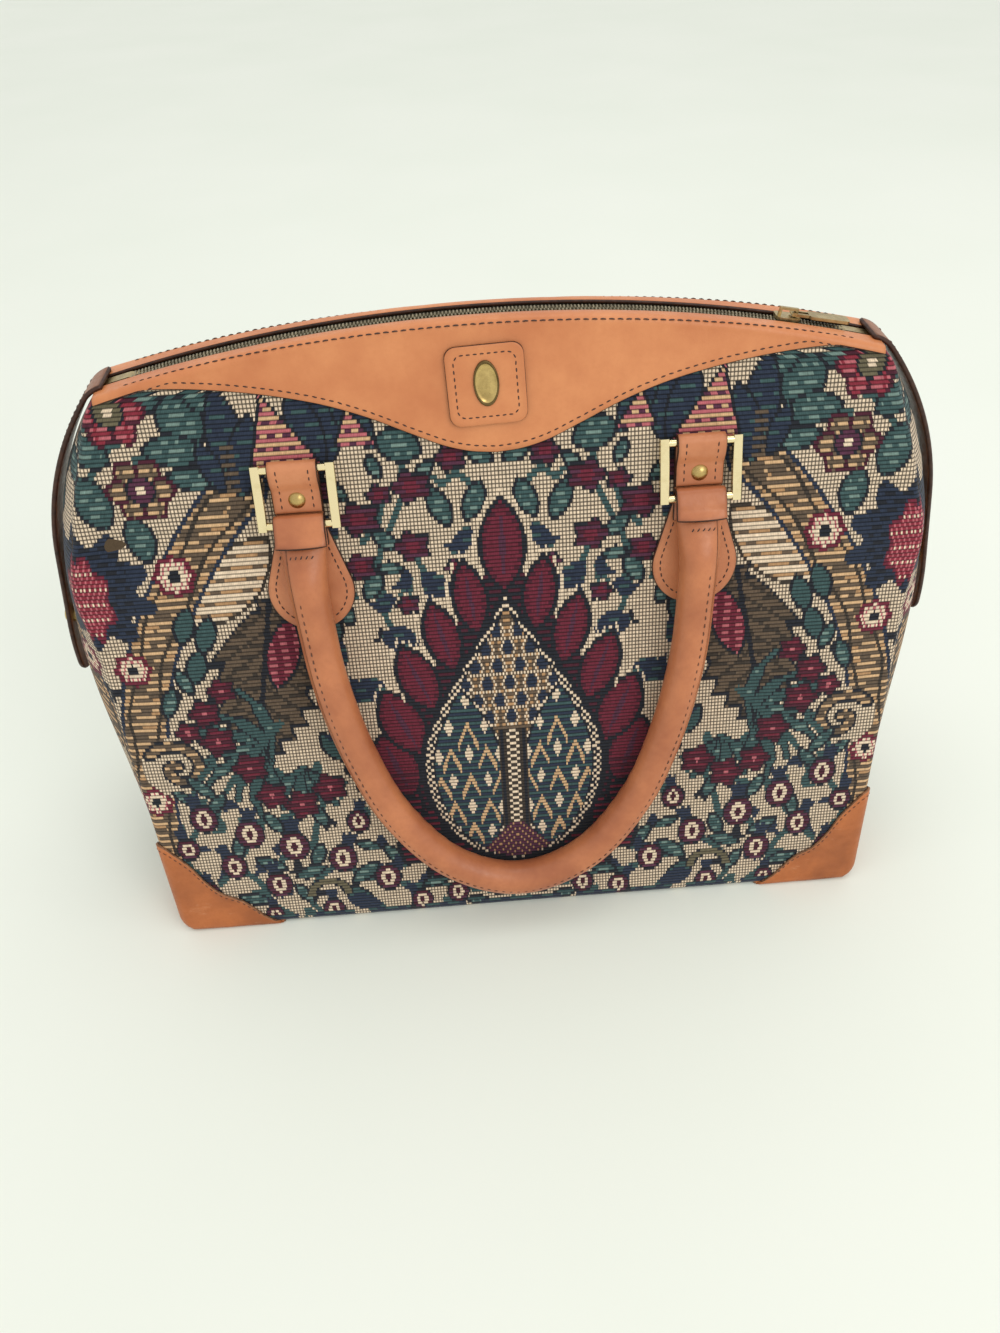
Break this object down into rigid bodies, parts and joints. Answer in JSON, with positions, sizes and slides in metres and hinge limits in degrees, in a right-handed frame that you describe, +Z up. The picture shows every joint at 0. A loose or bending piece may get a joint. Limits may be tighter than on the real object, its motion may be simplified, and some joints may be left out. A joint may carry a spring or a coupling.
{
  "type": "carpet bag",
  "caption": "Zip-top travel bag in floral tapestry with a scalloped leather yoke, leather corners, rolled handles on brass rings and snapped end tabs.",
  "frame": {"origin": "centre of the base, on the surface that the bag stands on", "axes": "+X to the right seen from the front, the front faces -Y, +Z up"},
  "size_m": [0.4912, 0.2048, 0.3378],
  "materials": {
    "tapestry": "jacquard tapestry, ribbed weave",
    "leather_tan": "smooth tan hide, satin",
    "leather_handle": "rolled tan hide, darkened by use",
    "leather_corner": "thick hide, worn edges",
    "leather_tab": "brown hide, dark edges",
    "brass_bright": "polished",
    "brass_antique": "aged, satin",
    "zip_tape": "woven tape",
    "zip_coil": "coiled filament",
    "zip_metal": "aged, satin",
    "lining": "plain weave",
    "board": "pressed board"
  },
  "bodies": {
    "bag": {"badge_patch": "leather_tan", "badge_plate": "brass_antique", "base_board": "board", "base_panel": "tapestry", "chape_back_left": "leather_tan", "chape_back_right": "leather_tan", "chape_front_left": "leather_tan", "chape_front_right": "leather_tan", "chape_rivet_back_left": "brass_antique", "chape_rivet_back_right": "brass_antique", "chape_rivet_front_left": "brass_antique", "chape_rivet_front_right": "brass_antique", "corner_patch_back_left": "leather_corner", "corner_patch_back_right": "leather_corner", "corner_patch_front_left": "leather_corner", "corner_patch_front_right": "leather_corner", "end_tab_left": "leather_tab", "end_tab_right": "leather_tab", "gusset_left": "tapestry", "gusset_right": "tapestry", "lining": "lining", "panel_back": "tapestry", "panel_front": "tapestry", "stud_cap_left": "brass_antique", "stud_cap_right": "brass_antique", "stud_socket_left": "brass_antique", "stud_socket_right": "brass_antique", "yoke_back": "leather_tan", "yoke_front": "leather_tan", "zip_coil_back": "zip_coil", "zip_coil_front": "zip_coil", "zip_stops": "zip_metal", "zip_tape_back": "zip_tape", "zip_tape_front": "zip_tape"},
    "ring_front_left": {"ring_front_left": "brass_bright"},
    "ring_front_right": {"ring_front_right": "brass_bright"},
    "ring_back_left": {"ring_back_left": "brass_bright"},
    "ring_back_right": {"ring_back_right": "brass_bright"},
    "handle_front": {"handle_front": "leather_handle"},
    "handle_back": {"handle_back": "leather_handle"},
    "zip_slider": {"zip_slider": "zip_metal"},
    "zip_pull": {"zip_pull": "zip_metal"}
  },
  "joints": [
    {"name": "ring_front_left_swing", "type": "hinge", "parent": "bag", "child": "ring_front_left", "pos_m": [-0.098, -0.02808, 0.27768], "axis": [-1, 0, 0], "range_deg": [0, 150]},
    {"name": "ring_front_right_swing", "type": "hinge", "parent": "bag", "child": "ring_front_right", "pos_m": [0.098, -0.02808, 0.27768], "axis": [-1, 0, 0], "range_deg": [0, 150]},
    {"name": "handle_front_swing", "type": "hinge", "parent": "ring_front_left", "child": "handle_front", "pos_m": [-0.098, -0.037, 0.25202], "axis": [-1, 0, 0], "range_deg": [0, 20]},
    {"name": "ring_back_left_swing", "type": "hinge", "parent": "bag", "child": "ring_back_left", "pos_m": [-0.098, 0.02808, 0.27768], "axis": [1, 0, 0], "range_deg": [0, 150]},
    {"name": "ring_back_right_swing", "type": "hinge", "parent": "bag", "child": "ring_back_right", "pos_m": [0.098, 0.02808, 0.27768], "axis": [1, 0, 0], "range_deg": [0, 150]},
    {"name": "handle_back_swing", "type": "hinge", "parent": "ring_back_left", "child": "handle_back", "pos_m": [-0.098, 0.037, 0.25202], "axis": [1, 0, 0], "range_deg": [0, 20]},
    {"name": "zip_run", "type": "hinge", "parent": "bag", "child": "zip_slider", "pos_m": [0, 0, -0.394], "axis": [0, 1, 0], "range_deg": [-22.1, 0]},
    {"name": "zip_pull_flip", "type": "hinge", "parent": "zip_slider", "child": "zip_pull", "pos_m": [0.14295, 0, 0.32608], "axis": [0, -1, 0], "range_deg": [0, 170]}
  ],
  "couplings": [
    {"joint": "ring_front_right_swing", "follows": "ring_front_left_swing", "ratio": 1},
    {"joint": "ring_back_right_swing", "follows": "ring_back_left_swing", "ratio": 1}
  ]
}
